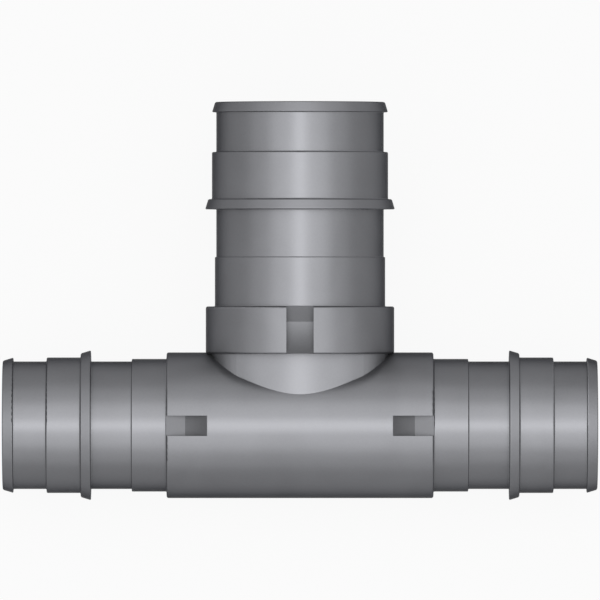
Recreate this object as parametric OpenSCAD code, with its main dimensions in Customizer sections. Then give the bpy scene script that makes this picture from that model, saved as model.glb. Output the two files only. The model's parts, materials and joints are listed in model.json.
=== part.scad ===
// Reducing tee for cold expansion water tube. It is one moulded body, and its branch is larger than its run.
// The run lies along X and its middle line meets that of the branch at the origin. The branch points to +Y.
// The part is tilted as it lies at rest, on the two rims of the run and on the foot of the collar.

/* [Body] */
// Distance from the crossing to the shoulder at either end of the barrel
shoulder_x = 18.4; // [16:0.1:30]
// Radius of the barrel
body_r = 10.05; // [9.95:0.05:10.25]
// Distance from the crossing to the foot of the collar
collar_foot = 9.9; // [9.3:0.1:10.3]
// Length of the collar along the branch
collar_l = 6.5; // [5.5:0.1:8]
// Radius of the collar, which the branch tube stops against
collar_r = 13; // [12.8:0.05:13.4]
// How far the foot of the collar stands out past the round sides of the neck below it
collar_ledge = 0.58; // [0.4:0.02:0.8]
// Distance from the middle of the neck to the crown of its front and of its back
neck_depth = 9.07; // [8.8:0.01:9.6]
// Radius to which the front and the back of the neck are crowned
neck_face_r = 23; // [20:0.5:30]
// Radius of the corners between the sides of the neck and its front and back
neck_corner_r = 6.75; // [5:0.25:7.5]

/* [Run inserts] */
// Radius of the straight water way through the run
run_bore_r = 6.6; // [5.5:0.1:7]
// Radius of the groove behind the end barb, and of the neck behind the rim
run_groove_r = 8.8; // [8.5:0.05:8.8]
// Crest radius of the end barb, just under the land so that a tube slides over it
run_barb_r = 9.3; // [9.2:0.05:9.35]
// Radius of the land that seals inside the tube
run_land_r = 9.35; // [9.3:0.05:9.5]
// Crest radius of the rim behind the land
run_rim_r = 10.3; // [10.2:0.05:10.8]
// Radius of the step in front of the shoulder
run_step_r = 9.15; // [9.1:0.05:9.3]
// Length of the end barb
run_barb_l = 1.45; // [1.2:0.05:2]
// Length of the groove between the end barb and the land
run_groove_l = 4.6; // [3:0.1:6]
// Length of the land
run_land_l = 4.7; // [3:0.1:6]
// Length of the rim
run_rim_l = 1.4; // [1.2:0.05:1.6]
// Length of the neck between the rim and the step
run_neck_l = 5.65; // [4:0.05:7]
// Length of the step
run_step_l = 4.8; // [3:0.1:6]

/* [Branch insert] */
// Radius of the wide water way in the branch
branch_bore_r = 9.2; // [8:0.1:9.6]
// Radius of the groove behind the end barb, and of the neck behind the rim
branch_groove_r = 11.55; // [11.3:0.05:11.55]
// Crest radius of the end barb, just under the land so that a tube slides over it
branch_barb_r = 12.1; // [12:0.05:12.15]
// Radius of the land that seals inside the tube
branch_land_r = 12.15; // [12.1:0.05:12.3]
// Crest radius of the rim behind the land
branch_rim_r = 13.05; // [12.95:0.05:13.5]
// Radius of the step in front of the collar
branch_step_r = 11.75; // [11.75:0.05:12]
// Length of the end barb
branch_barb_l = 1.4; // [1.2:0.05:2]
// Length of the groove between the end barb and the land
branch_groove_l = 5.5; // [4:0.1:7]
// Length of the land
branch_land_l = 6.5; // [4:0.1:8]
// Length of the rim
branch_rim_l = 1.4; // [1.2:0.05:1.6]
// Length of the neck between the rim and the step
branch_neck_l = 6.6; // [4:0.1:8]
// Length of the step
branch_step_l = 6.8; // [4:0.1:8]

/* [Water way] */
// How much narrower the branch opens into the run than the run's own water way
port_ease = 0.4; // [0.2:0.05:1.5]
// Distance from the foot of the collar up to where the wide water way of the branch ends
port_rise = 2.8; // [2.4:0.1:4]
// Length over which it then narrows on its way into the neck
port_taper_l = 4; // [3:0.1:5]
// Bevel of each water way at its mouth
mouth_bevel = 0.5; // [0.2:0.05:0.8]

/* [Cored pockets] */
// Width of the pocket in either shoulder
shoulder_pocket_w = 2.8; // [2:0.1:4]
// Length of that pocket along the run
shoulder_pocket_l = 5.65; // [4:0.05:7]
// Its depth at the shoulder, where it is open
shoulder_pocket_mouth = 0.65; // [0.4:0.05:0.7]
// Its depth at the deepest line of its floor
shoulder_pocket_deep = 1.5; // [1:0.05:1.7]
// Distance from the shoulder to that line
shoulder_pocket_line = 2.6; // [2:0.1:3]
// Its depth at the closed end
shoulder_pocket_rear = 0.15; // [0.1:0.05:0.3]
// Width of the pocket in the collar
collar_pocket_w = 3.75; // [3:0.05:5]
// Its depth at the top of the collar, where it is open
collar_pocket_mouth = 1.05; // [0.6:0.05:1.1]
// Its depth at the deepest line of its floor
collar_pocket_deep = 1.9; // [1.4:0.05:2]
// Distance from the top of the collar to that line
collar_pocket_line = 2.1; // [1.6:0.1:3]
// Its depth at the foot of the collar
collar_pocket_rear = 0.2; // [0.1:0.05:0.25]
// Radius of the scooped floor behind the deepest line of each pocket
scoop_r = 12; // [8:0.5:30]

/* [Edges] */
// Slope of the barbs and rims against their axis, in degrees
barb_slope = 17; // [14:1:19]
// Rounding of the crest of each barb and rim
crest_e = 0.12; // [0.08:0.01:0.15]
// Bevel at the front of each barb and rim
nose_bevel = 0.12; // [0.05:0.01:0.15]
// Rounding at the front of each land
land_e = 0.18; // [0.1:0.01:0.2]
// Fillet at the foot of each barb, land, rim and shoulder
root_e = 0.15; // [0.08:0.01:0.16]
// Rounding and fillet of the low step of the run
low_step_e = 0.12; // [0.08:0.01:0.14]
// Rounding and fillet of the faint step of the branch
faint_step_e = 0.08; // [0.05:0.01:0.09]
// Rounding of the shoulders and of the collar
shoulder_e = 0.28; // [0.15:0.01:0.3]

/* [Hidden] */
$fn = 96;
// How far cutters and fillets run past the faces that they meet
past = 0.4;
// How far the arcs of the neck run past the point where they would only touch
lap = 0.05;

// Lengths and radii of the inserts, from the mouth inwards
run_lengths = [run_barb_l, run_groove_l, run_land_l, run_rim_l, run_neck_l, run_step_l];
run_radii = [run_barb_r, run_groove_r, run_land_r, run_rim_r, run_step_r];
branch_lengths = [branch_barb_l, branch_groove_l, branch_land_l, branch_rim_l, branch_neck_l, branch_step_l];
branch_radii = [branch_barb_r, branch_groove_r, branch_land_r, branch_rim_r, branch_step_r];

// Distance from the foot of an insert to the outer end of the stretch with this place in its list
function from_foot(lengths, place) =
    place == len(lengths) ? 0 : lengths[place] + from_foot(lengths, place + 1);

run_end = shoulder_x + from_foot(run_lengths, 0);
collar_top = collar_foot + collar_l;
branch_end = collar_top + from_foot(branch_lengths, 0);

// Middle of the circle that rounds a corner of the neck, between the arc of its side and that of its crown
neck_side_r = collar_r - collar_ledge;
crown_drop = neck_face_r - neck_depth;
to_side = neck_side_r - neck_corner_r + lap;
to_crown = neck_face_r - neck_corner_r + lap;
neck_corner_y = (pow(to_crown, 2) - pow(to_side, 2) - pow(crown_drop, 2)) / (2 * crown_drop);
neck_corner_x = sqrt(pow(to_side, 2) - pow(neck_corner_y, 2));

port_r = run_bore_r - port_ease;
port_top = collar_foot + port_rise;

// The floor touches the rims of the run and the rounded foot of the collar
foot_edge = [collar_foot + shoulder_e, collar_r - shoulder_e];
rest_tilt = acos((run_rim_r - shoulder_e) / norm(foot_edge)) - atan2(foot_edge.x, foot_edge.y);

// What a square corner and the circle that touches both its sides leave between them, in one of four quarters
module corner(r, y, e, quarter) {
    translate([r, y])
        rotate(90 * quarter)
            difference() {
                translate([-past, -past])
                    square(e + past);
                translate([e, e])
                    circle(e);
            }
}

// Straight stretch of an outline, from the axis out to r
module band(r, from, to) {
    translate([0, from])
        square([r, to - from]);
}

// Stretch that slopes up from a bevelled front at to, back to a rounded crest of radius r at from
module barb(r, from, to) {
    middle = [r - crest_e, from + crest_e];
    touch = middle + crest_e * [cos(barb_slope), sin(barb_slope)];
    front_r = touch.x - (to - touch.y) * tan(barb_slope);
    bevel_r = front_r + nose_bevel * tan(barb_slope);
    polygon([
        [0, from], [middle.x, from], middle, touch,
        [bevel_r, to - nose_bevel], [front_r - nose_bevel, to], [0, to]
    ]);
    translate(middle)
        circle(crest_e);
}

// Half section of an insert, from its mouth to the face that its tube stops against
module insert_outline(foot, lengths, radii, step_e) {
    barb_back = foot + from_foot(lengths, 1);
    land_front = foot + from_foot(lengths, 2);
    rim_front = foot + from_foot(lengths, 3);
    rim_back = foot + from_foot(lengths, 4);
    step_front = foot + from_foot(lengths, 5);
    barb_r = radii[0];
    groove_r = radii[1];
    land_r = radii[2];
    rim_r = radii[3];
    step_r = radii[4];
    difference() {
        union() {
            barb(barb_r, barb_back, foot + from_foot(lengths, 0));
            band(groove_r, land_front - past, barb_back + past);
            band(land_r, rim_front - past, land_front);
            barb(rim_r, rim_back, rim_front);
            band(groove_r, step_front - past, rim_back + past);
            band(step_r, foot - past, step_front);
            corner(groove_r, barb_back, root_e, 3);
            corner(groove_r, land_front, root_e, 0);
            corner(land_r, rim_front, root_e, 0);
            corner(groove_r, rim_back, root_e, 3);
            corner(groove_r, step_front, step_e, 0);
            corner(step_r, foot, root_e, 0);
        }
        corner(land_r, land_front, land_e, 2);
        corner(step_r, step_front, step_e, 2);
    }
}

// Half section of one half of the run
module run_outline() {
    insert_outline(shoulder_x, run_lengths, run_radii, low_step_e);
    difference() {
        band(body_r, -past, shoulder_x);
        corner(body_r, shoulder_x, shoulder_e, 2);
    }
}

// Half section of the branch, with the collar
module branch_outline() {
    insert_outline(collar_top, branch_lengths, branch_radii, faint_step_e);
    difference() {
        band(collar_r, collar_foot, collar_top);
        corner(collar_r, collar_top, shoulder_e, 2);
        corner(collar_r, collar_foot, shoulder_e, 1);
    }
}

// What the rounding takes off one corner of the neck's section
module neck_corner() {
    difference() {
        translate([neck_corner_x * neck_face_r / to_crown, neck_corner_y])
            square(collar_r);
        translate([neck_corner_x, neck_corner_y])
            circle(neck_corner_r);
    }
}

// Neck that carries the collar on the barrel, round at its sides and crowned at its front and back
module neck() {
    rotate([-90, 0, 0])
        linear_extrude(collar_foot + past)
            difference() {
                intersection() {
                    circle(neck_side_r);
                    translate([0, -crown_drop])
                        circle(neck_face_r);
                    translate([0, crown_drop])
                        circle(neck_face_r);
                }
                for (side = [0, 1], face = [0, 1])
                    mirror([side, 0])
                        mirror([0, face])
                            neck_corner();
            }
}

// Straight water way with a bevel at both mouths
module run_bore() {
    flare = mouth_bevel + past;
    rotate([90, 0, 90])
        rotate_extrude()
            polygon([
                [0, -run_end - past], [run_bore_r + flare, -run_end - past],
                [run_bore_r, mouth_bevel - run_end], [run_bore_r, run_end - mouth_bevel],
                [run_bore_r + flare, run_end + past], [0, run_end + past]
            ]);
}

// Wide water way that narrows to the port into the run
module branch_bore() {
    flare = mouth_bevel + past;
    rotate([-90, 0, 0])
        rotate_extrude()
            polygon([
                [0, 0], [port_r, 0], [port_r, port_top - port_taper_l], [branch_bore_r, port_top],
                [branch_bore_r, branch_end - mouth_bevel], [branch_bore_r + flare, branch_end + past],
                [0, branch_end + past]
            ]);
}

// Pocket that is open at x = 0, with a floor that falls to its deepest line and then rises in a scoop
module pocket(surface_r, width, long, mouth, deep, line, rear) {
    low = [line, surface_r - deep];
    high = [long, surface_r - rear];
    half = norm(high - low) / 2;
    along = (high - low) / (2 * half);
    scoop = (low + high) / 2 + sqrt(pow(scoop_r, 2) - pow(half, 2)) * [-along.y, along.x];
    top = surface_r + past;
    rotate([90, 0, 0])
        linear_extrude(width, center = true) {
            polygon([[-past, surface_r - mouth], [0, surface_r - mouth], low, [line, top], [-past, top]]);
            intersection() {
                translate(scoop)
                    circle(scoop_r, $fn = 360);
                translate([line, 0])
                    square([long - line, top]);
            }
        }
}

// Pockets in both shoulders, on the two faces that the mould opens towards
module shoulder_pockets() {
    for (face = [0, 180], end = [0, 180])
        rotate([face, 0, end])
            translate([-shoulder_x, 0, 0])
                pocket(body_r, shoulder_pocket_w, shoulder_pocket_l, shoulder_pocket_mouth,
                    shoulder_pocket_deep, shoulder_pocket_line, shoulder_pocket_rear);
}

// Pockets in the collar, on the same two faces
module collar_pockets() {
    for (face = [0, 180])
        rotate([0, face, 0])
            translate([0, collar_top, 0])
                rotate([0, 0, -90])
                    pocket(collar_r, collar_pocket_w, collar_l, collar_pocket_mouth,
                        collar_pocket_deep, collar_pocket_line, collar_pocket_rear);
}

module tee() {
    color([0.49, 0.49, 0.51])
        rotate([rest_tilt, 0, 0])
            difference() {
                union() {
                    rotate([90, 0, 90])
                        rotate_extrude() {
                            run_outline();
                            mirror([0, 1])
                                run_outline();
                        }
                    rotate([-90, 0, 0])
                        rotate_extrude()
                            branch_outline();
                    neck();
                }
                run_bore();
                branch_bore();
                shoulder_pockets();
                collar_pockets();
            }
}

tee();
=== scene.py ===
# %% [markdown]
# # A reducing tee in moulded plastic
# The object is a pipe fitting that leaves its mould in one piece: a short barrel with a ribbed insert at
# each end, and a larger ribbed insert that stands on a collar. The fitting lies on its back on a pale
# table, and the camera looks straight down on its flat side. Its shape comes finished from the frame, so
# these cells give it its surface, a table, soft light and a camera. Blender's lengths are in metres.

# %% Load the frame
import json
from math import cos, degrees, hypot, pi, radians, tan

import bpy
from mathutils import Matrix, Vector


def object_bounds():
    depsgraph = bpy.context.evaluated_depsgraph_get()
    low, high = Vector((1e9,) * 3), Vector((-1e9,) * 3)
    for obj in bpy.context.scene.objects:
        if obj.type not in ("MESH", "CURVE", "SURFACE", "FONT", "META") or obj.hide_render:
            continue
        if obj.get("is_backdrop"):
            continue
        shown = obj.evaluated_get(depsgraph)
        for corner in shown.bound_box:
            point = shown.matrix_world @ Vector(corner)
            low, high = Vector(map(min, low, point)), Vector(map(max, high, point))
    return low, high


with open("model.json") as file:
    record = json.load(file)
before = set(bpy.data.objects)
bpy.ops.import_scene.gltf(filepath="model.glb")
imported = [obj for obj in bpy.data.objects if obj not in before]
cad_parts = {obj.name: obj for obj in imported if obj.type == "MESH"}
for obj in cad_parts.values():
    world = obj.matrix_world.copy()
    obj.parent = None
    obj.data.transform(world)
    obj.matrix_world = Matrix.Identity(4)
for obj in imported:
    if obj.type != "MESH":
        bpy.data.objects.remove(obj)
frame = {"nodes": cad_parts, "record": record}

MM = 0.001
cad_low, cad_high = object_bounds()
tee = frame["nodes"]["tee"]
sides = [round(side / MM, 1) for side in cad_high - cad_low]
print("tee:", len(tee.data.polygons), "faces, box in mm", sides)

# %% [markdown]
# ## Where the fitting's own directions are
# The fitting lies tilted, because the foot of its collar is thicker than its run. The frame lists the
# bores as mounts, each with a place, a direction and a radius. Reading them here is safer than typing the
# angle again: if the part is made with another tilt, the camera, the lamps and every pattern below turn
# with it.

# %% Directions of the two bores
mounts = {mount["name"]: mount for mount in frame["record"]["mounts"]}
along_run = Vector(mounts["run_bore"]["axis"])
up_branch = Vector(mounts["branch_bore"]["axis"])
off_face = along_run.cross(up_branch)
tilt = up_branch.angle(Vector((0, 1, 0)))
print("the fitting leans back by", round(degrees(tilt), 2), "degrees")

# %% [markdown]
# ## The camera
# The picture to match is drawn without perspective. A very long lens from far away comes close to that,
# and it still lets other views pull back until the whole fitting is in the frame. The drawing has one
# scale, so the width of the frame is known in millimetres, and the distance follows from the lens.

# %% Camera over the middle of the drawing
PICTURE = 600
MM_PER_PIXEL = 0.138
RUN_AXIS_PIXEL = 425.25
LENS = 1000

frame_width = PICTURE * MM_PER_PIXEL * MM
aim = (RUN_AXIS_PIXEL - PICTURE / 2) * MM_PER_PIXEL * MM * up_branch
bpy.ops.object.camera_add()
camera = bpy.context.object
camera.name = "camera"
camera.data.lens = LENS
distance = camera.data.lens / camera.data.sensor_width * frame_width
camera.location = aim + distance * off_face
camera.rotation_euler = (tilt, 0, 0)
camera.data.clip_end = 2 * distance
bpy.context.scene.camera = camera
print("the camera is", round(distance, 2), "m away and sees", round(frame_width / MM, 1), "mm across")

# %% [markdown]
# ## Sums on sockets
# A finish is worked out from the place of each point: how far it is from an axis, whether it is in a
# bore. In the shader editor each plus and times is a Math node, and a formula turns into a web of wires.
# Here a small class holds one output socket, and Python's own signs add the Math nodes, so that a formula
# reads as a formula. The reflected forms, such as the one for 1 - mask, are needed because Python also
# meets a number on the left.

# %% A wire that can be added and multiplied
class Wire:
    """One output of a node, with the signs that Python needs to write sums with it."""

    def __init__(self, finish, socket):
        self.finish = finish
        self.socket = socket

    def output(self, name):
        return Wire(self.finish, self.socket.node.outputs[name])

    def __add__(self, other):
        return self.finish.math("ADD", self, other)

    def __sub__(self, other):
        return self.finish.math("SUBTRACT", self, other)

    def __rsub__(self, other):
        return self.finish.math("SUBTRACT", other, self)

    def __mul__(self, other):
        return self.finish.math("MULTIPLY", self, other)

    def __truediv__(self, other):
        return self.finish.math("DIVIDE", self, other)

    def __lt__(self, other):
        return self.finish.math("LESS_THAN", self, other)

    def __gt__(self, other):
        return self.finish.math("GREATER_THAN", self, other)

    def __abs__(self):
        return self.finish.math("ABSOLUTE", self)

    __radd__ = __add__
    __rmul__ = __mul__


print("sockets are wrapped by", Wire.__qualname__)

# %% [markdown]
# ## One way to add a node
# Everything else in a node tree is the same three steps: choose the kind of node, set its menus, and fill
# its sockets with numbers or with wires. One method does all three, for materials and for the world. The
# menus come first, because a node may show other sockets once a menu is set. Sockets that share a name
# are given by their number.

# %% A node tree with one method
class Finish:
    """The node tree of a material or of the world."""

    def __init__(self, owner):
        owner.use_nodes = True
        self.owner = owner
        self.tree = owner.node_tree
        self.tree.nodes.clear()

    def node(self, kind, settings, values):
        node = self.tree.nodes.new(kind)
        for name, setting in settings.items():
            setattr(node, name, setting)
        for name, value in values.items():
            shown = [socket for socket in node.inputs if socket.enabled]
            socket = shown[name] if isinstance(name, int) else next(one for one in shown if one.name == name)
            if isinstance(value, Wire):
                self.tree.links.new(value.socket, socket)
            else:
                socket.default_value = value
        outputs = [socket for socket in node.outputs if socket.enabled]
        return Wire(self, outputs[0]) if outputs else None

    def math(self, operation, *values):
        return self.node("ShaderNodeMath", {"operation": operation}, dict(enumerate(values)))


print("nodes are added by", Finish.node.__qualname__)

# %% [markdown]
# ## Millimetres on the fitting
# Object coordinates are metres in the frame, and the fitting leans in it. A Mapping node turns them back
# and makes them millimetres, so that x runs along the run, y up the branch, and z off the flat side.
# Patterns in these coordinates are solid, like grain in wood: they need no unwrapping, and they meet
# without a seam where the branch joins the run.

# %% Coordinates that follow the bores
plastic = Finish(bpy.data.materials.new("moulded_plastic"))
frame_place = plastic.node("ShaderNodeTexCoord", {}, {}).output("Object")
place = plastic.node("ShaderNodeMapping", {}, {
    "Vector": frame_place,
    "Rotation": (-tilt, 0, 0),
    "Scale": (1 / MM, 1 / MM, 1 / MM),
})
x = plastic.node("ShaderNodeSeparateXYZ", {}, {"Vector": place})
y = x.output("Y")
z = x.output("Z")
from_run_axis = plastic.math("SQRT", y * y + z * z)
from_branch_axis = plastic.math("SQRT", x * x + z * z)
print("one unit of every pattern is 1 mm")

# %% [markdown]
# ## Sizes to paint by
# The masks below need to know how wide the barrel and the collar are and where each begins. Some of that
# is in the mounts. The rest can be measured on the frame's mesh, whose corners lie exactly on the part:
# turned and scaled as the patterns are, the widest between the shoulders and below the run's middle line
# gives the barrel, the widest next to the branch's stop gives the collar, and the lowest one that stands
# well past the barrel's front is on the collar's foot.

# %% Measure the barrel and the collar
CLEAR = 1.0

shoulder_x = mounts["run_stop_right"]["pos_m"][0] / MM
collar_top = Vector(mounts["branch_stop"]["pos_m"]).dot(up_branch) / MM
run_bore_r = mounts["run_bore"]["dims"]["r_mm"]
branch_bore_r = mounts["branch_bore"]["dims"]["r_mm"]
turn_back = Matrix((along_run, up_branch, off_face))
points = [turn_back @ vertex.co / MM for vertex in tee.data.vertices]

below_branch = [point for point in points if point.y < 0 and abs(point.x) < shoulder_x - CLEAR]
barrel_r = max(hypot(point.y, point.z) for point in below_branch)
collar_r = max(hypot(point.x, point.z) for point in points if abs(point.y - collar_top) < CLEAR)
collar_foot = min(point.y for point in points if point.z > barrel_r + CLEAR)
print("barrel", round(barrel_r, 2), "mm in radius, shoulders", round(shoulder_x, 2), "mm from the middle")
print("collar", round(collar_r, 2), "mm in radius, from", round(collar_foot, 2), "to", round(collar_top, 2))

# %% [markdown]
# ## The zones of the moulding
# One shot of plastic fills the whole mould, so there is one colour, but steel of different finish touches
# it. Polished steel shapes the inserts, which have to seal against the tube. Spark-eroded steel gives the
# barrel and the collar a fine satin grain. The long pins that core the bores leave a duller wall. Each
# zone is a mask, 1 inside it and 0 outside, made by comparing distances. Vertex groups would be another
# way, but the frame's mesh is not to be touched.

# %% Masks for the inserts and the bores
EDGE = 0.05

branch_bore = mounts["branch_bore"]
wide_way_start = Vector(branch_bore["pos_m"]).dot(up_branch) / MM - branch_bore["dims"]["length_mm"] / 2

on_insert = plastic.math("MAXIMUM", abs(x) > shoulder_x + EDGE, y > collar_top + EDGE)
in_run_bore = from_run_axis < run_bore_r + EDGE
in_branch_bore = (from_branch_axis < branch_bore_r + EDGE) * (y > wide_way_start - EDGE)
in_bore = plastic.math("MAXIMUM", in_run_bore, in_branch_bore)
print("the wide water way of the branch starts", round(wide_way_start, 2), "mm up")

# %% [markdown]
# ## The pockets' sizes
# Each shoulder and the collar have a pocket on the front and on the back. Its floor falls from the open
# end to a deepest line and rises again in a scoop to the closed end. The frame doesn't list the pockets.
# But clear of the rounded edges, a corner of the mesh that lies under the round skin and outside the water
# way is on one of them. The deepest of these corners is at an end of the deepest line, and so it gives the
# pocket's width too. A shoulder's pocket ends at the corner nearest to the middle. The collar's pocket is
# as long as the collar. Both shoulders are alike, and so are front and back, so one pocket of each kind is
# measured.

# %% Measure a pocket of each kind
SUNK = 0.03

in_shoulder = [
    point for point in points
    if branch_bore_r + CLEAR < point.x < shoulder_x - CLEAR and point.z > 0
    and run_bore_r + CLEAR < hypot(point.y, point.z) < barrel_r - SUNK
]
in_collar = [
    point for point in points
    if collar_foot + CLEAR < point.y < collar_top - CLEAR and point.z > 0
    and branch_bore_r + CLEAR < hypot(point.x, point.z) < collar_r - SUNK
]
line_end = min(in_shoulder, key=lambda point: point.z)
shoulder_pocket = {
    "width": 2 * abs(line_end.y),
    "length": shoulder_x - min(point.x for point in in_shoulder),
    "line": shoulder_x - line_end.x,
}
line_end = min(in_collar, key=lambda point: point.z)
collar_pocket = {
    "width": 2 * abs(line_end.x),
    "length": collar_top - collar_foot,
    "line": collar_top - line_end.y,
}
for place_name, pocket in {"shoulder": shoulder_pocket, "collar": collar_pocket}.items():
    print("pocket in the", place_name, {name: round(size, 2) for name, size in pocket.items()})

# %% [markdown]
# ## The pockets' floors
# Small steel blocks let into the mould make the pockets, and their floors come out rougher than the skin
# around them. The same values also darken the floor's colour, and that darkening is painted shade: it
# stands in for a floor turned further from the light, and it is deepest towards the closed end. Each
# value is one level from the mouth to the deepest line, and then a ramp along the scoop up to the tip.

# %% Rougher floors of the pockets, with painted shade
SHOULDER_FLOOR_DULLNESS_AND_PAINTED_SHADE = {"mouth": 0.1, "scoop": 0.36, "tip": 0.46}
COLLAR_FLOOR_DULLNESS_AND_PAINTED_SHADE = {"mouth": 0.27, "scoop": 0.14, "tip": 0.44}


def floor_dullness_and_painted_shade(pocket, floor, from_middle, from_mouth, under_skin):
    """How rough the floor of a pocket is, and how far painted shade darkens it: one value up to its line,
    then a ramp to its closed end.
    """
    between_walls = (from_middle < pocket["width"] / 2 + EDGE) * under_skin * (1 - in_bore)
    between_ends = (from_mouth > EDGE) * (from_mouth < pocket["length"] - EDGE)
    behind_line = from_mouth > pocket["line"]
    along_scoop = (from_mouth - pocket["line"]) / (pocket["length"] - pocket["line"])
    scoop = floor["scoop"] + (floor["tip"] - floor["scoop"]) * along_scoop
    return between_walls * between_ends * (floor["mouth"] * (1 - behind_line) + scoop * behind_line)


under_barrel = from_run_axis < barrel_r - EDGE
under_collar = from_branch_axis < collar_r - EDGE
shoulder_floor_dullness_and_painted_shade = floor_dullness_and_painted_shade(shoulder_pocket, SHOULDER_FLOOR_DULLNESS_AND_PAINTED_SHADE, abs(y), shoulder_x - abs(x), under_barrel)
collar_floor_dullness_and_painted_shade = floor_dullness_and_painted_shade(collar_pocket, COLLAR_FLOOR_DULLNESS_AND_PAINTED_SHADE, abs(x), collar_top - y, under_collar)
print("the dullest spots reach", max(SHOULDER_FLOOR_DULLNESS_AND_PAINTED_SHADE["tip"], COLLAR_FLOOR_DULLNESS_AND_PAINTED_SHADE["tip"]))

# %% [markdown]
# ## Colour
# The drawing shows a neutral grey that is a touch blue, and the tint below gives its red, green and blue
# in shares of that grey. Plastic that flows into a mould never has quite one tone: the pigment is drawn
# into broad, faint clouds where the melt slowed or two streams met. A noise of low frequency moves the
# base colour a few hundredths up and down, and a finer one adds the specks of the pigment itself. Both
# are weak, since more would read as dirt. Together with the dull places they make one factor near 1, and
# a Vector Math node scales the colour by it. The bores' walls are a little darker. In the pockets the
# darkening is painted shade, deepest towards their closed ends.

# %% Grey with faint flow clouds
GREY = 0.157
TINT = (1.0, 1.012, 1.07)
CLOUD = 9.0
CLOUD_DEPTH = 0.24
CLOUD_DETAIL = 3.0
CLOUD_ROUGHNESS = 0.45
CLOUD_SWIRL = 0.6
SPECK = 0.3
SPECK_DEPTH = 0.08
SPECK_DETAIL = 1.0
BORE_DULLNESS = 0.06
NOISE_MIDDLE = 0.5

clouds = plastic.node("ShaderNodeTexNoise", {}, {
    "Vector": place,
    "Scale": 1 / CLOUD,
    "Detail": CLOUD_DETAIL,
    "Roughness": CLOUD_ROUGHNESS,
    "Distortion": CLOUD_SWIRL,
}) - NOISE_MIDDLE
specks = plastic.node("ShaderNodeTexNoise", {}, {
    "Vector": place,
    "Scale": 1 / SPECK,
    "Detail": SPECK_DETAIL,
}) - NOISE_MIDDLE
# The pockets' part of this darkens the colour as painted shade; the bores' part makes their walls a little
# darker.
dullness_and_painted_shade = BORE_DULLNESS * in_bore + shoulder_floor_dullness_and_painted_shade + collar_floor_dullness_and_painted_shade
colour = plastic.node("ShaderNodeVectorMath", {"operation": "SCALE"}, {
    "Vector": tuple(GREY * share for share in TINT),
    "Scale": 1 + CLOUD_DEPTH * clouds + SPECK_DEPTH * specks - dullness_and_painted_shade,
})
print("grey", GREY, "with clouds of about", CLOUD, "mm")

# %% [markdown]
# ## Grain and the parting line
# Two things stand on the surface. The grain of the steel is printed on the barrel and collar and is
# nearly gone on the polished inserts. Where the two halves of the mould closed, a hair of plastic stands
# up along the middle plane, all round the outside. Neither is higher than a few hundredths of a
# millimetre, far below what a mesh should hold, so they become a height map in millimetres, which a Bump
# node will turn into a change of the normal.

# %% Heights of the grain and the parting line
GRAIN = 0.22
GRAIN_DETAIL = 2.0
GRAIN_HEIGHT = 0.004
ON_POLISHED = 0.35
LINE_HALF_WIDTH = 0.07
LINE_HEIGHT = 0.03

grain = plastic.node("ShaderNodeTexNoise", {}, {
    "Vector": place,
    "Scale": 1 / GRAIN,
    "Detail": GRAIN_DETAIL,
})
grain_height = GRAIN_HEIGHT * grain * (1 - (1 - ON_POLISHED) * on_insert)
line_height = LINE_HEIGHT * plastic.math("MAXIMUM", 1 - abs(z) / LINE_HALF_WIDTH, 0) * (1 - in_bore)
print("grain", GRAIN_HEIGHT, "mm high, parting line", LINE_HEIGHT, "mm")

# %% [markdown]
# ## The neck
# Below the collar stands a short neck, flatter in front than at its sides. Its crown and its rounded
# corners are arcs that cross at a few degrees, where the steel of a real mould is stoned until one runs
# into the other. In the height map that is a shallow dip whose sides steepen towards the crossing. Inside
# the crossing the dip turns the surface further round, and outside it less far, by half the angle each,
# so the two arcs meet in one smooth curve. The surface there looks away from the front by the turn given
# below, so a slope is a little steeper when it is measured along x. The Bump node's distance is in
# metres, like everything outside the patterns.

# %% Stoned edge between the crown and the corners of the neck
CROSSING_X = 8.73
CROSSING_ANGLE = 5.9
CROSSING_TURN = 25.2
REACH = 3.5

on_neck = (from_run_axis > barrel_r + EDGE) * (abs(y) < collar_foot - EDGE) * (1 - in_bore)
steepest = tan(radians(CROSSING_ANGLE / 2)) / cos(radians(CROSSING_TURN))
depth = steepest * REACH / 2
near_crossing = plastic.math("MAXIMUM", 1 - abs(abs(x) - CROSSING_X) / REACH, 0)
dip = depth * near_crossing * near_crossing * on_neck
normal = plastic.node("ShaderNodeBump", {}, {
    "Height": grain_height + line_height - dip,
    "Distance": MM,
})
print("the dip is", round(depth, 3), "mm deep")

# %% [markdown]
# ## Gloss
# The drawing is brightest along the middle of each cylinder and falls steadily to a dark edge. A plain
# diffuse plastic can't do that: it stays nearly as bright until just before its edge. Flakes of pigment
# that lie along the surface do, because they mirror the light that comes from over the part and mirror
# less and less of it further round. So most of the light here goes through the metallic side of the
# shader, at a satin roughness. Its tint for grazing angles is dark, because the drawing has no bright
# rim. It isn't black: below about 0.18 the shader's curve for such angles reaches zero before the edge
# and leaves a hard line there. The clear gloss of the shader is off, since it would also shine most at
# the edge. The roughness wanders a little with the clouds and specks, and the dull places are rougher.

# %% The finished plastic
FLAKE_SHARE = 0.8
SATIN = 0.34
CLOUD_SATIN = 0.08
SPECK_SATIN = 0.04
DULL_SATIN = 0.5
BORE_SATIN = 0.15
GRAZING_TINT = 0.2

wander = CLOUD_SATIN * clouds + SPECK_SATIN * specks
shader = plastic.node("ShaderNodeBsdfPrincipled", {}, {
    "Base Color": colour,
    "Metallic": FLAKE_SHARE,
    "Roughness": SATIN + wander + DULL_SATIN * dullness_and_painted_shade + BORE_SATIN * in_bore,
    "Specular IOR Level": 0.0,
    "Specular Tint": (GRAZING_TINT, GRAZING_TINT, GRAZING_TINT, 1),
    "Normal": normal,
})
plastic.node("ShaderNodeOutputMaterial", {}, {"Surface": shader})
tee.material_slots[0].material = plastic.owner
print("the plastic has", len(plastic.tree.nodes), "nodes")

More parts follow.
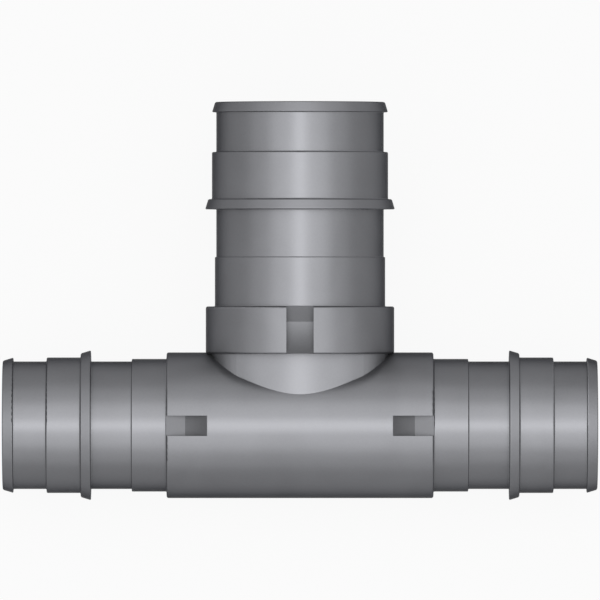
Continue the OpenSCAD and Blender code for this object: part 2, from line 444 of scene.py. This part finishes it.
# %% [markdown]
# ## The table
# The fitting lies on pale paper, on a white page. More light would make the paper white, but it would
# bleach the fitting too. So rays that come straight from the camera, or by way of a reflection, see
# nearly the full white that an emission of strength 1 gives, and the small rest is the paper's own shaded
# colour, which keeps a faint shadow under the fitting. All other rays see only the pale paper.

# %% Paper under the fitting
TABLE = 12
PAPER = 0.5
WHITE_SHARE = 0.92

bpy.ops.mesh.primitive_plane_add(size=TABLE, location=(0, 0, cad_low.z))
table = bpy.context.object
table.name = "table"
table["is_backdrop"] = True


def seen(finish):
    """1 for rays that show the background to the camera, straight or in gloss or glass."""
    rays = finish.node("ShaderNodeLightPath", {}, {})
    in_gloss = finish.math("MAXIMUM", rays.output("Is Glossy Ray"), rays.output("Is Transmission Ray"))
    return finish.math("MAXIMUM", rays.output("Is Camera Ray"), in_gloss)


paper = Finish(bpy.data.materials.new("paper"))
white = paper.node("ShaderNodeEmission", {}, {"Strength": 1.0})
shaded = paper.node("ShaderNodeBsdfDiffuse", {}, {"Color": (PAPER, PAPER, PAPER, 1)})
page = paper.node("ShaderNodeMixShader", {}, {0: WHITE_SHARE * seen(paper), 1: shaded, 2: white})
paper.node("ShaderNodeOutputMaterial", {}, {"Surface": page})
table.data.materials.append(paper.owner)
print("the paper lies at", round(cad_low.z / MM, 2), "mm")

# %% [markdown]
# ## The room
# The world is the same white page behind the table, for the same rays, and a weak grey fill for all
# others. A flat world lights a part from everywhere and takes its shape away, so the fill stays low and
# the lamps do the work.

# %% A white page and a weak fill
FILL = 0.05
PAGE = WHITE_SHARE + (1 - WHITE_SHARE) * PAPER

room = Finish(bpy.data.worlds.new("room"))
backdrop = room.node("ShaderNodeBackground", {}, {
    "Color": (1, 1, 1, 1),
    "Strength": FILL + (PAGE - FILL) * seen(room),
})
room.node("ShaderNodeOutputWorld", {}, {"Surface": backdrop})
bpy.context.scene.world = room.owner
print("the page has a brightness of", round(PAGE, 3))

# %% [markdown]
# ## The lamps
# The drawing's light comes from where its reader is: every cylinder is brightest in the middle and the
# same on both sides. One soft lamp leaves a visible end to its glow in a satin surface. Three lamps of
# different size in the same place fade into each other: a wide canopy makes the fall towards the edge, a
# softbox the light middle, and a small lamp the crest. Each is given as its share of a full light and its
# spread in degrees. Suns have no falloff, so the light is the same on all parts, and their shares add up
# to about one full light, at which a colour renders about as it is written.

# %% Three lamps over the part
LAMPS = {"crest": (0.08, 15), "softbox": (0.51, 80), "canopy": (0.51, 140)}

for name, (share, spread) in LAMPS.items():
    bpy.ops.object.light_add(type="SUN")
    lamp = bpy.context.object
    lamp.name = name
    lamp.rotation_euler = (tilt, 0, 0)
    lamp.data.energy = share * pi
    lamp.data.angle = radians(spread)
bpy.context.scene.view_settings.view_transform = "Standard"
print("light on the part:", sum(share for share, spread in LAMPS.values()))

# %% [markdown]
# ## The size stays
# Materials and lamps leave the size alone. The last cell measures the box again and prints how far its
# corners have moved from the box before.

# %% Measure the box again
low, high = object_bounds()
moved = max((low - cad_low).length, (high - cad_high).length)
print("the corners of the box have moved by", round(moved / MM, 3), "mm")
